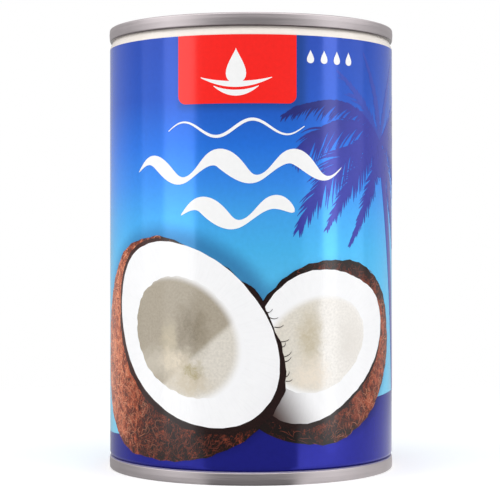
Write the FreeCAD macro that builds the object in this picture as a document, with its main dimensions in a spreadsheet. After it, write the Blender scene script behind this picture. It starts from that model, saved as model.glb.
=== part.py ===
"""A shut 400 ml food can: a full, necked-in welded body with a double-seamed end at each mouth.

Lengths are millimetres. The can stands on its bottom seam at z = 0, with its axis on Z.
"""

import FreeCAD, Part
import Sketcher
import math
import os

# Every size that can be set by itself: its name, its value and what it measures.
SIZES = [
    ("can_height", 112.7, "over both double seams"),
    ("wall_radius", 36.5, "outside of the printed wall"),
    ("neck_draw", 0.8, "how far a neck is drawn in from the wall"),
    ("top_neck_rise", 2.05, "height of the cone under the top seam"),
    ("bottom_neck_rise", 0.9, "height of the cone over the bottom seam"),
    ("shoulder_round", 1.1, "bend between the wall and a neck"),
    ("seam_reach", 0.95, "from the neck out to the outside of its double seam"),
    ("seam_thickness", 1.25, "five layers of plate, across the seam"),
    ("seam_height", 3.05, "from the rim to the hem"),
    ("rim_round", 0.5, "both edges of the rim"),
    ("hem_round", 0.25, "lower outer edge of the seam"),
    ("countersink_depth", 4.1, "from the rim down to the panel's lowest ring"),
    ("countersink_round", 0.7, "bend between the chuck wall and the panel"),
    ("chuck_lean", 0.3, "how far the chuck wall leans in over its depth"),
    ("plate", 0.2, "thickness of the end's plate"),
    ("bead_inset", 4.65, "from the chuck wall's foot in to the middle of the expansion bead"),
    ("bead_width", 3.4, "across the feet of the bead"),
    ("bead_crest", 1.2, "across the top of the bead"),
    ("bead_rise", 0.9, "height of the bead"),
    ("step_inset", 5.6, "from the middle of the bead in to the foot of the raised centre panel"),
    ("step_run", 1.0, "across the slope of that step"),
    ("step_rise", 0.7, "height of the centre panel"),
    ("press_round", 0.45, "bends of the bead and of the step"),
]

# Radii, from the wall in. Each follows the one before it, so a wider can has wider ends.
NECK_RADIUS = "Sizes.wall_radius - Sizes.neck_draw"
SEAM_RADIUS = NECK_RADIUS + " + Sizes.seam_reach"
# The chuck wall is the end's own wall inside the seam. It leans in evenly from the rim to the panel.
CHUCK_RADIUS = SEAM_RADIUS + " - Sizes.seam_thickness"
CHUCK_FOOT = CHUCK_RADIUS + " - Sizes.chuck_lean"
LEAN_AT_HEM = "Sizes.chuck_lean * Sizes.seam_height / Sizes.countersink_depth"
CHUCK_BACK_AT_HEM = CHUCK_RADIUS + " + Sizes.plate - " + LEAN_AT_HEM
BEAD_RADIUS = CHUCK_FOOT + " - Sizes.bead_inset"
STEP_RADIUS = BEAD_RADIUS + " - Sizes.step_inset"

# How a sketch numbers its own origin and upright axis, and the two ends of a line or an arc.
ORIGIN, UPRIGHT_AXIS = -1, -2
START, END = 1, 2


def make_sheet(document):
    """The sheet of sizes, one row each."""
    sheet = document.addObject("Spreadsheet::Sheet", "Sizes")
    for row, (alias, value, meaning) in enumerate(SIZES, start=1):
        sheet.set("A%d" % row, alias)
        sheet.set("B%d" % row, str(value))
        sheet.set("C%d" % row, meaning)
        sheet.setAlias("B%d" % row, alias)
    document.recompute()


def panel(thickness):
    """Corners of an end's pressed panel, from the axis out, as (radius, depth under the rim, bend).

    With a thickness of "0" they are the panel's outer face. With the plate's own thickness they are
    its inner face, which the filled body lies against.
    """
    floor = "Sizes.countersink_depth + " + thickness
    centre = floor + " - Sizes.step_rise"
    crest = floor + " - Sizes.bead_rise"
    bend = "Sizes.press_round"
    return [
        ("0", centre, None),
        (STEP_RADIUS + " - Sizes.step_run", centre, bend),
        (STEP_RADIUS, floor, bend),
        (BEAD_RADIUS + " - Sizes.bead_width / 2", floor, bend),
        (BEAD_RADIUS + " - Sizes.bead_crest / 2", crest, bend),
        (BEAD_RADIUS + " + Sizes.bead_crest / 2", crest, bend),
        (BEAD_RADIUS + " + Sizes.bead_width / 2", floor, bend),
        (CHUCK_FOOT + " + " + thickness, floor, "Sizes.countersink_round + " + thickness),
    ]


def end_section():
    """One end: out along its outer face, round the double seam, and back along its inner face."""
    seam = [
        (CHUCK_RADIUS, "0", "Sizes.rim_round"),
        (SEAM_RADIUS, "0", "Sizes.rim_round"),
        (SEAM_RADIUS, "Sizes.seam_height", "Sizes.hem_round"),
        (CHUCK_BACK_AT_HEM, "Sizes.seam_height", None),
    ]
    return panel("0") + seam + panel("Sizes.plate")[::-1]


def half_body_section(neck_rise):
    """Half of the filled body: out along an end's inner face, over the neck, to the shoulder."""
    mouth = [
        (CHUCK_BACK_AT_HEM, "Sizes.seam_height", None),
        (NECK_RADIUS, "Sizes.seam_height", None),
        ("Sizes.wall_radius", "Sizes.seam_height + " + neck_rise, "Sizes.shoulder_round"),
    ]
    return panel("Sizes.plate") + mouth


def at_bottom(corners):
    """Depths under a rim are heights over the ground at the can's foot."""
    return list(corners)


def at_top(corners):
    """The same corners at the can's other mouth, where depths run down from its full height."""
    return [(radius, "Sizes.can_height - (%s)" % depth, bend) for radius, depth, bend in corners]


def bend_between(before, corner, after, size):
    """Where a bend of this radius leaves the first line, its middle, and where it meets the next."""
    back = (before - corner).normalize()
    ahead = (after - corner).normalize()
    half = back.getAngle(ahead) / 2
    reach = size / math.tan(half)
    towards_centre = (back + ahead).normalize()
    middle = corner + towards_centre * (size / math.sin(half) - size)
    return corner + back * reach, middle, corner + ahead * reach


def bind(sketch, kind, elements, expression):
    """A size in the sketch that follows the sheet."""
    value = float(sketch.evalExpression(expression))
    index = sketch.addConstraint(Sketcher.Constraint(kind, *elements, value))
    sketch.setExpression("Constraints[%d]" % index, expression)


def place_point(sketch, point, radius, height):
    """Holds one point of the sketch at a radius and a height from the sheet."""
    if radius == "0":
        sketch.addConstraint(Sketcher.Constraint("PointOnObject", *point, UPRIGHT_AXIS))
    else:
        bind(sketch, "DistanceX", (ORIGIN, START, *point), radius)
    bind(sketch, "DistanceY", (ORIGIN, START, *point), height)


def round_corner(sketch, corner, first_line, arc_points, next_line, bend):
    """Joins two lines by an arc, and keeps the sharp corner as a construction point on both."""
    arc = sketch.addGeometry(Part.Arc(*arc_points), False)
    # A sketch turns every arc anticlockwise, so which of its ends meets the first line is looked up.
    begin = sketch.getPoint(arc, START)
    forward = begin.distanceToPoint(arc_points[0]) < begin.distanceToPoint(arc_points[2])
    near, far = (START, END) if forward else (END, START)
    sketch.addConstraint(Sketcher.Constraint("Tangent", first_line, END, arc, near))
    sketch.addConstraint(Sketcher.Constraint("Tangent", next_line, START, arc, far))
    bind(sketch, "Radius", (arc,), bend)
    sharp = sketch.addGeometry(Part.Point(corner), True)
    sketch.addConstraint(Sketcher.Constraint("PointOnObject", sharp, START, first_line))
    sketch.addConstraint(Sketcher.Constraint("PointOnObject", sharp, START, next_line))
    return sharp


def draw_section(sketch, corners):
    """A closed outline through the corners. Its sizes are measured to sharp corners, as on a drawing."""
    def value(expression):
        return float(sketch.evalExpression(expression))

    points = [FreeCAD.Vector(value(radius), value(height), 0) for radius, height, _ in corners]
    bends = {}
    for i, (_, _, bend) in enumerate(corners):
        if bend is not None:
            following = points[(i + 1) % len(points)]
            bends[i] = bend_between(points[i - 1], points[i], following, value(bend))

    lines = []
    for i, point in enumerate(points):
        following = (i + 1) % len(points)
        begin = bends[i][2] if i in bends else point
        finish = bends[following][0] if following in bends else points[following]
        lines.append(sketch.addGeometry(Part.LineSegment(begin, finish), False))

    for i, (radius, height, bend) in enumerate(corners):
        if i in bends:
            sharp = round_corner(sketch, points[i], lines[i - 1], bends[i], lines[i], bend)
            place_point(sketch, (sharp, START), radius, height)
        else:
            sketch.addConstraint(Sketcher.Constraint("Coincident", lines[i - 1], END, lines[i], START))
            place_point(sketch, (lines[i], START), radius, height)


def turned_body(document, label, corners):
    """One piece of the can: its section on the XZ plane, turned about the Z axis."""
    body = document.addObject("PartDesign::Body", label)
    body.Label = label
    sketch = body.newObject("Sketcher::SketchObject", label + "_section")
    section_plane = next(item for item in body.Origin.OriginFeatures if item.Role == "XZ_Plane")
    sketch.AttachmentSupport = (section_plane, [""])
    sketch.MapMode = "FlatFace"
    document.recompute()
    draw_section(sketch, corners)
    document.recompute()
    turn = body.newObject("PartDesign::Revolution", label + "_turn")
    turn.Profile = sketch
    turn.ReferenceAxis = (sketch, ["V_Axis"])
    turn.Angle = 360.0
    document.recompute()
    return body


def check(document, bodies):
    """Stops with a plain message where something failed, a sketch is loose or a piece isn't sound."""
    for item in document.Objects:
        if "Invalid" in item.State or "Error" in item.State:
            raise RuntimeError("%s did not compute: %s" % (item.Name, item.State))
        if item.TypeId == "Sketcher::SketchObject" and not item.FullyConstrained:
            raise RuntimeError("%s is not fully constrained" % item.Name)
    for body in bodies:
        shape = body.Shape
        if shape.isNull() or not shape.isValid() or len(shape.Solids) != 1:
            raise RuntimeError("%s is not one sound solid" % body.Label)


def main():
    document = FreeCAD.newDocument("food_can")
    make_sheet(document)
    foot = half_body_section("Sizes.bottom_neck_rise")
    head = half_body_section("Sizes.top_neck_rise")
    bodies = [
        turned_body(document, "can_body", at_bottom(foot) + at_top(head)[::-1]),
        turned_body(document, "bottom_end", at_bottom(end_section())),
        turned_body(document, "top_end", at_top(end_section())),
    ]
    check(document, bodies)
    os.makedirs("parts", exist_ok=True)
    for body in bodies:
        body.Shape.exportStep("parts/%s.step" % body.Label)
        box = body.Shape.optimalBoundingBox()
        size = (body.Label, body.Shape.Volume, box.ZMin, box.ZMax, box.XMax)
        print("%-11s %10.1f mm3, z %.2f to %.2f, radius %.2f" % size)


main()
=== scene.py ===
# %% [markdown]
# # A shut, printed food can
# A 400 ml food can is three pieces of tinplate. The wall is a printed sheet, rolled into a tube and welded
# up the back. An end is folded onto each mouth by machine, which makes the two double seams. The
# engineering model already holds those three pieces at their true size. This lesson gives them their finish
# and lays the print on the wall, ink by ink, as a can printer does.

import math
import random

import bpy
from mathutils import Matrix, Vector
from mathutils.geometry import delaunay_2d_cdt


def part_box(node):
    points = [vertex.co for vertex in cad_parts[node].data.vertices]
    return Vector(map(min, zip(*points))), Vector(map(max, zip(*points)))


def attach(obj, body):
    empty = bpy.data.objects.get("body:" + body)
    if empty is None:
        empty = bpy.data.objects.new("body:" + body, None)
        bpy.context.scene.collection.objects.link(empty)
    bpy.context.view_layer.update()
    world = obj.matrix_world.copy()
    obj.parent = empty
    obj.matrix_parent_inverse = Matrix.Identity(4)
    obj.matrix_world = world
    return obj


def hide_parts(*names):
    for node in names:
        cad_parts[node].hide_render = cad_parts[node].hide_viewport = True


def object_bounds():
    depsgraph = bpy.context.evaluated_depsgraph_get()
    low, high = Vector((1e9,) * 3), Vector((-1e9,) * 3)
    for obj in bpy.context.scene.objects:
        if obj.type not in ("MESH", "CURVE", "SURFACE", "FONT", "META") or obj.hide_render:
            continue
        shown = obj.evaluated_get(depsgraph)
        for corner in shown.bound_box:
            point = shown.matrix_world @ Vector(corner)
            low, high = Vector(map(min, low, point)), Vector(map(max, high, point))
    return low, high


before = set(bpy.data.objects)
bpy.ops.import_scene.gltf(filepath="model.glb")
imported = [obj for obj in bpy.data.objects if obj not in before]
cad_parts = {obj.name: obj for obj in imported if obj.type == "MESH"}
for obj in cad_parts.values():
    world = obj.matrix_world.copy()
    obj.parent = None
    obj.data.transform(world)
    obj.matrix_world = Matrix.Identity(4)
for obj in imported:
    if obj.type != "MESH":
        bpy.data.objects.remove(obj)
cad_box = [list(corner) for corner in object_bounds()]
print("the can's box in metres:", cad_box)

# %% [markdown]
# ## Sizes
# Everything is drawn in millimetres and turned to metres where a mesh is made, because Blender and the
# model count in metres. The main sizes are read from the model, so the looks follow it. Only what the
# model's boxes can't tell, such as how a mouth is necked in, is written here.

# %% Read the main sizes
MM = 0.001
CAN_HEIGHT = cad_box[1][2] / MM
WALL_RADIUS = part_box("can_body")[1].x / MM
SEAM_RADIUS = -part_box("top_end")[0].x / MM
SEAM_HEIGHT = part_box("can_body")[0].z / MM

NECK_DRAW, NECK_BEND = 0.8, 1.1
NECK_RADIUS = WALL_RADIUS - NECK_DRAW
TOP_NECK_RISE, TOP_BEND_REACH = 2.05, 0.21
FOOT_NECK_RISE, FOOT_BEND_REACH = 0.9, 0.42
PLATE = 0.2
PANEL_DEPTH = CAN_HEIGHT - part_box("top_end")[0].z / MM - PLATE

# The straight part of the wall, between the two bends. The print covers it.
PRINT_FOOT = SEAM_HEIGHT + FOOT_NECK_RISE + FOOT_BEND_REACH
PRINT_HEAD = CAN_HEIGHT - SEAM_HEIGHT - TOP_NECK_RISE - TOP_BEND_REACH
BACK = math.pi * WALL_RADIUS
print("height %.1f, wall radius %.2f, seam radius %.2f mm" % (CAN_HEIGHT, WALL_RADIUS, SEAM_RADIUS))
print("print from %.2f to %.2f mm, %.1f mm round to the back" % (PRINT_FOOT, PRINT_HEAD, BACK))

# %% [markdown]
# ## Colours and nodes
# Printers and screens name a colour by its sRGB hex value. A shader wants the linear amount of light
# instead, so one function turns the one into the other. Another adds a shader node together with its
# settings and links. Each material below is then a short list of such calls.


# %% Colour and node helpers
def colour(hex_text):
    """An sRGB hex colour as the linear red, green, blue and alpha that a shader takes."""
    parts = [int(hex_text[i : i + 2], 16) / 255 for i in (1, 3, 5)]
    linear = [p / 12.92 if p <= 0.04045 else ((p + 0.055) / 1.055) ** 2.4 for p in parts]
    return (*linear, 1.0)


def add(tree, kind, inputs=None, stops=None, **settings):
    """Adds one shader node. An input is a number, a hex colour, or the node or socket it comes from."""
    node = tree.nodes.new("ShaderNode" + kind)
    for name, value in settings.items():
        setattr(node, name, value)
    shown = [socket for socket in node.inputs if socket.enabled]
    for key, value in (inputs or {}).items():
        socket = shown[key] if isinstance(key, int) else next(s for s in shown if s.name == key)
        if isinstance(value, bpy.types.Node):
            value = next(output for output in value.outputs if output.enabled)
        if isinstance(value, bpy.types.NodeSocket):
            tree.links.new(value, socket)
        else:
            socket.default_value = colour(value) if isinstance(value, str) else value
    for i, (place, hex_text) in enumerate(stops or []):
        elements = node.color_ramp.elements
        stop = elements[i] if i < 2 else elements.new(place)
        stop.position = place
        stop.color = colour(hex_text)
    return node


print("sky blue #48abf1 is", [round(part, 3) for part in colour("#48abf1")[:3]], "in linear light")

# %% [markdown]
# ## One address for every spot of print
# A label is drawn flat and then rolled up. So each spot has an address: how far it lies round the wall from
# the middle of the front, and how high it is over the foot. A UV map could hold that, but the wall is a
# true cylinder, so the angle of a point about the axis gives the same answer with no map at all, and every
# ink shares it.


# %% Unroll the wall in nodes
def label_place(tree):
    """The distance round from the front and the height, both in millimetres, as a vector."""
    where = add(tree, "TexCoord").outputs["Object"]
    axes = add(tree, "SeparateXYZ", {0: where})
    forward = add(tree, "Math", {0: axes.outputs["Y"], 1: -1.0}, operation="MULTIPLY")
    angle = add(tree, "Math", {0: axes.outputs["X"], 1: forward}, operation="ARCTAN2")
    around = add(tree, "Math", {0: angle, 1: WALL_RADIUS}, operation="MULTIPLY")
    height = add(tree, "Math", {0: axes.outputs["Z"], 1: 1 / MM}, operation="MULTIPLY")
    return add(tree, "CombineXYZ", {"X": around, "Y": height})


print("one degree round the wall is %.2f mm of label" % (math.radians(1) * WALL_RADIUS))

# %% [markdown]
# ## Fields of soft shade
# Much of a label is soft: a sky that deepens, a shadow behind a fruit. Each such shade is a number that
# grows smoothly from 0 to 1. Measured outwards from an ellipse or a box it gives a round or a square
# shade, and measured along one direction it gives a fade. Nothing printed is quite even either, so one
# more field is noise. Most of a noise's values lie round 0.5, and it spreads a window of them over two
# levels.


# %% Shade fields
def outside_ellipse(tree, place, centre, half_axes, turn, start, stop):
    """0 within `start` times the ellipse and 1 beyond `stop` times it. Its long axis is turned by degrees."""
    frame_of_ellipse = {
        "Vector": place,
        "Location": (*centre, 0),
        "Rotation": (0, 0, math.radians(turn)),
        "Scale": (*half_axes, 1),
    }
    local = add(tree, "Mapping", frame_of_ellipse, vector_type="TEXTURE")
    reach = add(tree, "VectorMath", {0: local}, operation="LENGTH")
    limits = {"Value": reach, "From Min": start, "From Max": stop}
    return add(tree, "MapRange", limits, interpolation_type="SMOOTHSTEP")


def outside_box(tree, place, centre, half_size, start, stop):
    """0 within `start` of the box and 1 beyond `stop` from it, with round corners between."""
    offset = add(tree, "VectorMath", {0: place, 1: (*centre, 0)}, operation="SUBTRACT")
    size = add(tree, "VectorMath", {0: offset}, operation="ABSOLUTE")
    over = add(tree, "VectorMath", {0: size, 1: (*half_size, 0)}, operation="SUBTRACT")
    out = add(tree, "VectorMath", {0: over, 1: (0, 0, 0)}, operation="MAXIMUM")
    gap = add(tree, "VectorMath", {0: out}, operation="LENGTH")
    limits = {"Value": gap, "From Min": start, "From Max": stop}
    return add(tree, "MapRange", limits, interpolation_type="SMOOTHSTEP")


def along(tree, place, degrees, start, stop):
    """0 where the place, measured along a direction, is under start, and 1 where it is over stop."""
    direction = (math.cos(math.radians(degrees)), math.sin(math.radians(degrees)), 0)
    reach = add(tree, "VectorMath", {0: place, 1: direction}, operation="DOT_PRODUCT")
    limits = {"Value": reach, "From Min": start, "From Max": stop}
    return add(tree, "MapRange", limits, interpolation_type="SMOOTHSTEP")


def patches(tree, place, scale, levels, window=(0.3, 0.7), **settings):
    """Noise with `scale` patches to the unit, that runs from one level to the other."""
    noise = add(tree, "TexNoise", {"Vector": place, "Scale": scale, **settings})
    limits = {"Value": noise, "From Min": window[0], "From Max": window[1]}
    return add(tree, "MapRange", {**limits, "To Min": levels[0], "To Max": levels[1]})


# %% [markdown]
# ## The finish of the print
# The sheet is printed flat with litho inks, each about 5 microns thick, and then coated with a clear
# stoving varnish. So every colour of the print has the same gloss: the varnish reflects about 4 % head on
# and much more at a grazing angle, which an IOR of 1.5 gives. It has an orange peel, about 1 mm from crest
# to crest and only a few microns high, that shows as a faint waver in a reflection. White ink hides the
# metal, but the blues and the red are clear inks, and a share of the tinplate's own shine comes through
# them in their colour. The shader's Metallic value is that share.

# %% Make a varnished ink
VARNISH_IOR, VARNISH_ROUGHNESS = 1.5, (0.12, 0.19)
PEEL_SIZE, PEEL_HEIGHT = 1.4, 0.0015
GLOSS_PATCHES = 0.06  # to the mm
mirrored_share = ((VARNISH_IOR - 1) / (VARNISH_IOR + 1)) ** 2
print("head on, the varnish mirrors %.0f %% of the light" % (100 * mirrored_share))


def varnished_ink(name, paint, *details, metal_share=0.0):
    """A litho ink under stoving varnish. `paint` adds the nodes of its colour and returns the last one."""
    material = bpy.data.materials.new(name)
    material.use_nodes = True
    tree = material.node_tree
    shader = tree.nodes["Principled BSDF"]
    shader.inputs["IOR"].default_value = VARNISH_IOR
    shader.inputs["Metallic"].default_value = metal_share
    place = label_place(tree)
    painted = paint(tree, place, *details)
    tree.links.new(next(output for output in painted.outputs if output.enabled), shader.inputs["Base Color"])

    peel = add(tree, "TexNoise", {"Vector": place, "Scale": 1 / PEEL_SIZE, "Detail": 1.0})
    bump = add(tree, "Bump", {"Height": peel, "Distance": PEEL_HEIGHT * MM, "Strength": 1.0})
    tree.links.new(bump.outputs["Normal"], shader.inputs["Normal"])
    gloss = patches(tree, place, GLOSS_PATCHES, VARNISH_ROUGHNESS, Detail=3.0)
    tree.links.new(gloss.outputs[0], shader.inputs["Roughness"])
    return material


# %% [markdown]
# ## Kinds of paint
# A solid of one ink is never flat: where the sheet took the ink unevenly it has a slight mottle. That is
# the simplest paint. Another mixes two such inks by a shade field, as where a colour turns into its own
# shadow. Each takes the node tree and the place first, so any of them can be handed to an ink.


# %% Mottle an ink, and mix two
def grained(tree, place, hex_text, size, depth):
    """One ink, with a mottle of a size in mm that changes it by a share of up to `depth`."""
    strength = patches(tree, place, 1 / size, (1 - depth, 1 + depth), Detail=4.0, Roughness=0.6)
    return add(tree, "VectorMath", {0: colour(hex_text)[:3], "Scale": strength}, operation="SCALE")


def two_tone(tree, place, share, hexes, size, depth):
    """The first ink where the share is 0 and the second where it is 1, both with their mottle."""
    one, two = (grained(tree, place, hex_text, size, depth) for hex_text in hexes)
    return add(tree, "Mix", {"Factor": share, "A": one, "B": two}, data_type="RGBA")


# %% [markdown]
# ## Turned sheet metal
# All three pieces of the can are round, so each is one outline turned about the axis. Blender's Screw
# modifier could turn it, but it smooths the shading over long flat stretches, and a shiny wall then seems
# bent. So this function turns the outline itself and gives each corner of each face its exact direction:
# straight stretches stay straight and bends stay round, as drawn.

# %% Turn an outline
TURN_STEPS = 360
BEND_STEP = math.radians(9)
print("a whole turn takes %d steps, and a quarter bend %.0f" % (TURN_STEPS, math.pi / 2 / BEND_STEP))


def bent_outline(corners):
    """A closed outline as spans with a direction at each end. A corner is (radius, height, bend or None)."""
    points = [Vector((r, z)) for r, z, _ in corners]
    area = sum(a.cross(b) for a, b in zip(points, points[1:] + points[:1]))
    if area < 0:
        points, corners = points[::-1], corners[::-1]
    stations = []
    for i, point in enumerate(points):
        bend = corners[i][2]
        back, ahead = points[i - 1] - point, points[(i + 1) % len(points)] - point
        before, after = Vector((-back.y, back.x)).normalized(), Vector((ahead.y, -ahead.x)).normalized()
        if not bend:
            stations.append([(point, before), (point, after)])
            continue
        half = back.angle(ahead) / 2
        centre = point + (back.normalized() + ahead.normalized()).normalized() * (bend / math.sin(half))
        swing = before.angle_signed(after)
        outward = 1 if (point - centre).dot(before) > 0 else -1
        steps = max(2, math.ceil(abs(swing) / BEND_STEP))
        arc = []
        for k in range(steps + 1):
            c, s = math.cos(-swing * k / steps), math.sin(-swing * k / steps)
            direction = Vector((before.x * c - before.y * s, before.x * s + before.y * c))
            arc.append((centre + direction * bend * outward, direction))
        stations.append(arc)
    spans = []
    for i, station in enumerate(stations):
        spans += [(a, b) for a, b in zip(station, station[1:]) if (a[0] - b[0]).length > 1e-6]
        spans.append((station[-1], stations[(i + 1) % len(stations)][0]))
    return spans


def make_piece(name, places, faces, directions, materials, slots=None):
    """An object from places in mm. Each corner of each face has a direction of its own."""
    mesh = bpy.data.meshes.new(name)
    mesh.from_pydata([[c * MM for c in place] for place in places], [], faces)
    for material in materials:
        mesh.materials.append(material)
    for i, polygon in enumerate(mesh.polygons):
        polygon.use_smooth = True
        polygon.material_index = slots[i] if slots else 0
    mesh.normals_split_custom_set(directions)
    mesh.update()
    piece = bpy.data.objects.new(name, mesh)
    bpy.context.scene.collection.objects.link(piece)
    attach(piece, "root")
    return piece


def turned(name, corners, materials, slot_at=None):
    """Turns a closed outline about the axis. slot_at gives the material's number for a height."""
    spans = [s for s in bent_outline(corners) if s[0][0].x > 1e-6 or s[1][0].x > 1e-6]
    angles = [2 * math.pi * k / TURN_STEPS for k in range(TURN_STEPS)]
    places, faces, directions, slots = [], [], [], []
    ring_of = {}

    def ring(point):
        key = (round(point.x, 5), round(point.y, 5))
        if key not in ring_of:
            count = 1 if point.x < 1e-6 else TURN_STEPS
            ring_of[key] = [len(places) + (k if count > 1 else 0) for k in range(TURN_STEPS)]
            places.extend((point.x * math.sin(a), -point.x * math.cos(a), point.y) for a in angles[:count])
        return ring_of[key]

    def facing(direction, k):
        a = angles[k % TURN_STEPS]
        return (direction.x * math.sin(a), -direction.x * math.cos(a), direction.y)

    for (low, low_way), (high, high_way) in spans:
        one, two = ring(low), ring(high)
        for k in range(TURN_STEPS):
            n = (k + 1) % TURN_STEPS
            low_corners = [(one[k], low_way, k), (one[n], low_way, n)]
            corner_list = low_corners + [(two[n], high_way, n), (two[k], high_way, k)]
            if one[k] == one[n]:
                corner_list.pop(1)
            elif two[k] == two[n]:
                corner_list.pop(2)
            faces.append([corner for corner, _, _ in corner_list])
            directions += [facing(way, at) for _, way, at in corner_list]
            slots.append(slot_at((low.y + high.y) / 2) if slot_at else 0)
    return make_piece(name, places, faces, directions, materials, slots)


# %% [markdown]
# ## The printed wall
# The sheet's first coat is white. Over it the printer lays a sky that pales from royal blue at the head to
# light cyan low down. The wall carries that sky as one fade of colour. Where the design throws a shadow on
# the sky, behind the fruit and beside the tab, the same sky is mixed with a deeper blue. The head of the
# wall, from the bend up, keeps the bare white coat, and the foot takes the dark blue of the ground.

# %% Place the shadows, the tab and the ground
# Each half's shadow ellipse: centre, half axes, turn in degrees, and where the shadow is full and ends.
LEFT_SHADOW = ((-19.0, 34.5), (29.5, 25.5), -35, 0.9, 1.11)
RIGHT_SHADOW = ((20.5, 31.8), (22.5, 20.5), 8, 0.9, 1.14)
TAB_LEFT, TAB_RIGHT, TAB_FOOT, TAB_ROUND = -18.2, 11.0, 91.0, 2.0
TAB_MIDDLE = (TAB_LEFT + TAB_RIGHT) / 2
TAB_SHADOW_SHIFT, TAB_SHADOW = 1.3, (-0.5, 2.6)
GROUND_LEVEL, GROUND_TILT = 14.9, 5.4
print("the tab is %.1f mm wide, and the ground %.1f mm high in front" % (TAB_RIGHT - TAB_LEFT, GROUND_LEVEL))


def behind_the_halves(tree, place):
    """1 on open sky, and lower where either half throws its shadow."""
    left, right = (outside_ellipse(tree, place, *shadow) for shadow in (LEFT_SHADOW, RIGHT_SHADOW))
    return add(tree, "Math", {0: left, 1: right}, operation="MULTIPLY")


# %% Mix the sky
SKY = [
    # the share of the can's height, and the colour there
    (0.10, "#7fdcff"),
    (0.38, "#64d0ff"),
    (0.50, "#4fc2ff"),
    (0.57, "#48b2ff"),
    (0.64, "#3a96fb"),
    (0.72, "#277bee"),
    (0.82, "#235bcc"),
    (0.95, "#2850bf"),
]
SKY_PATCHES, SKY_MOTTLE = 0.9, (0.97, 1.03)
SHADOW_BLUE, SHADOW_SHARE = "#1f4a8c", 0.6


def sky_paint(tree, place):
    """The sky's fade of blues, mixed with a deeper blue behind the halves and round the tab."""
    height = add(tree, "SeparateXYZ", {0: place}).outputs["Y"]
    share = add(tree, "Math", {0: height, 1: CAN_HEIGHT}, operation="DIVIDE")
    fall = add(tree, "ValToRGB", {"Fac": share}, stops=SKY)
    strength = patches(tree, place, SKY_PATCHES, SKY_MOTTLE, Detail=4.0)
    bright = add(tree, "VectorMath", {0: fall.outputs["Color"], "Scale": strength}, operation="SCALE")
    deep = add(tree, "Mix", {"Factor": SHADOW_SHARE, "A": bright, "B": SHADOW_BLUE}, data_type="RGBA")
    centre = (TAB_MIDDLE + TAB_SHADOW_SHIFT, PRINT_HEAD)
    half_size = ((TAB_RIGHT - TAB_LEFT) / 2, PRINT_HEAD - TAB_FOOT)
    clear_of_tab = outside_box(tree, place, centre, half_size, *TAB_SHADOW)
    light = add(tree, "Math", {0: behind_the_halves(tree, place), 1: clear_of_tab}, operation="MULTIPLY")
    return add(tree, "Mix", {"Factor": light, "A": deep, "B": bright}, data_type="RGBA")


def ground_paint(tree, place):
    """The dark blue ground, nearly black in the halves' shadow."""
    return two_tone(tree, place, behind_the_halves(tree, place), ("#161962", "#272a9e"), 1.2, 0.06)


print("the sky fades through", len(SKY), "blues")

# %% Turn the wall
BLUE_METAL_SHARE, GROUND_METAL_SHARE = 0.24, 0.6
sky_ink = varnished_ink("litho_sky_on_tinplate", sky_paint, metal_share=BLUE_METAL_SHARE)
ground_ink = varnished_ink("litho_dark_blue_on_tinplate", ground_paint, metal_share=GROUND_METAL_SHARE)
white_coat = varnished_ink("white_base_coat_on_tinplate", grained, "#ece4dc", 1.5, 0.02)

CAP_INSET = 1.5
foot_mouth, head_mouth = SEAM_HEIGHT, CAN_HEIGHT - SEAM_HEIGHT
lip = NECK_RADIUS - PLATE
wall_outline = [
    (0, PANEL_DEPTH + CAP_INSET, None),
    (lip, PANEL_DEPTH + CAP_INSET, None),
    (lip, foot_mouth, None),
    (NECK_RADIUS, foot_mouth, None),
    (WALL_RADIUS, foot_mouth + FOOT_NECK_RISE, NECK_BEND),
    (WALL_RADIUS, head_mouth - TOP_NECK_RISE, NECK_BEND),
    (NECK_RADIUS, head_mouth, None),
    (lip, head_mouth, None),
    (lip, CAN_HEIGHT - PANEL_DEPTH - CAP_INSET, None),
    (0, CAN_HEIGHT - PANEL_DEPTH - CAP_INSET, None),
]


def wall_coat(height):
    """Which coat shows at a height: 0 the sky, 1 the dark ground at the foot, 2 the white head."""
    return 1 if height < PRINT_FOOT else 2 if height > PRINT_HEAD else 0


wall = turned("printed_wall", wall_outline, [sky_ink, ground_ink, white_coat], wall_coat)
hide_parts("can_body")
print("the wall has", len(wall.data.polygons), "faces")

# %% [markdown]
# ## The ends
# An end is pressed from plate: a flat panel with a raised centre and one bead that lets it flex, sunk below
# the rim by a straight chuck wall. Its edge is folded over the wall's and rolled flat in five layers, the
# double seam. The rollers leave the seam's outer face a little rounded, burnished in fine lines that run
# round it.

# %% Draw an end's outline
RIM_ROUND, HEM_ROUND = 0.5, 0.3
SEAM_THICKNESS = 1.25
SEAM_BULGE, BULGE_AT, BULGE_BEND = 0.1, 0.45, 2.0
CHUCK_LEAN, CHUCK_BEND = 0.3, 0.7
BEAD_INSET, BEAD_WIDTH, BEAD_CREST, BEAD_RISE = 4.65, 3.4, 1.2, 0.9
STEP_INSET, STEP_RUN, STEP_RISE = 5.6, 1.0, 0.7
PRESS_BEND = 0.45

chuck_radius = SEAM_RADIUS - SEAM_THICKNESS
chuck_foot = chuck_radius - CHUCK_LEAN
bead_radius = chuck_foot - BEAD_INSET
step_radius = bead_radius - STEP_INSET
chuck_back = chuck_radius + PLATE - CHUCK_LEAN * SEAM_HEIGHT / PANEL_DEPTH


def panel_outline(thickness):
    """An end's panel from the axis out, as (radius, depth under the rim, bend)."""
    low = PANEL_DEPTH + thickness
    return [
        (0, low - STEP_RISE, None),
        (step_radius - STEP_RUN, low - STEP_RISE, PRESS_BEND),
        (step_radius, low, PRESS_BEND),
        (bead_radius - BEAD_WIDTH / 2, low, PRESS_BEND),
        (bead_radius - BEAD_CREST / 2, low - BEAD_RISE, PRESS_BEND),
        (bead_radius + BEAD_CREST / 2, low - BEAD_RISE, PRESS_BEND),
        (bead_radius + BEAD_WIDTH / 2, low, PRESS_BEND),
        (chuck_foot + thickness, low, CHUCK_BEND + thickness),
    ]


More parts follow.
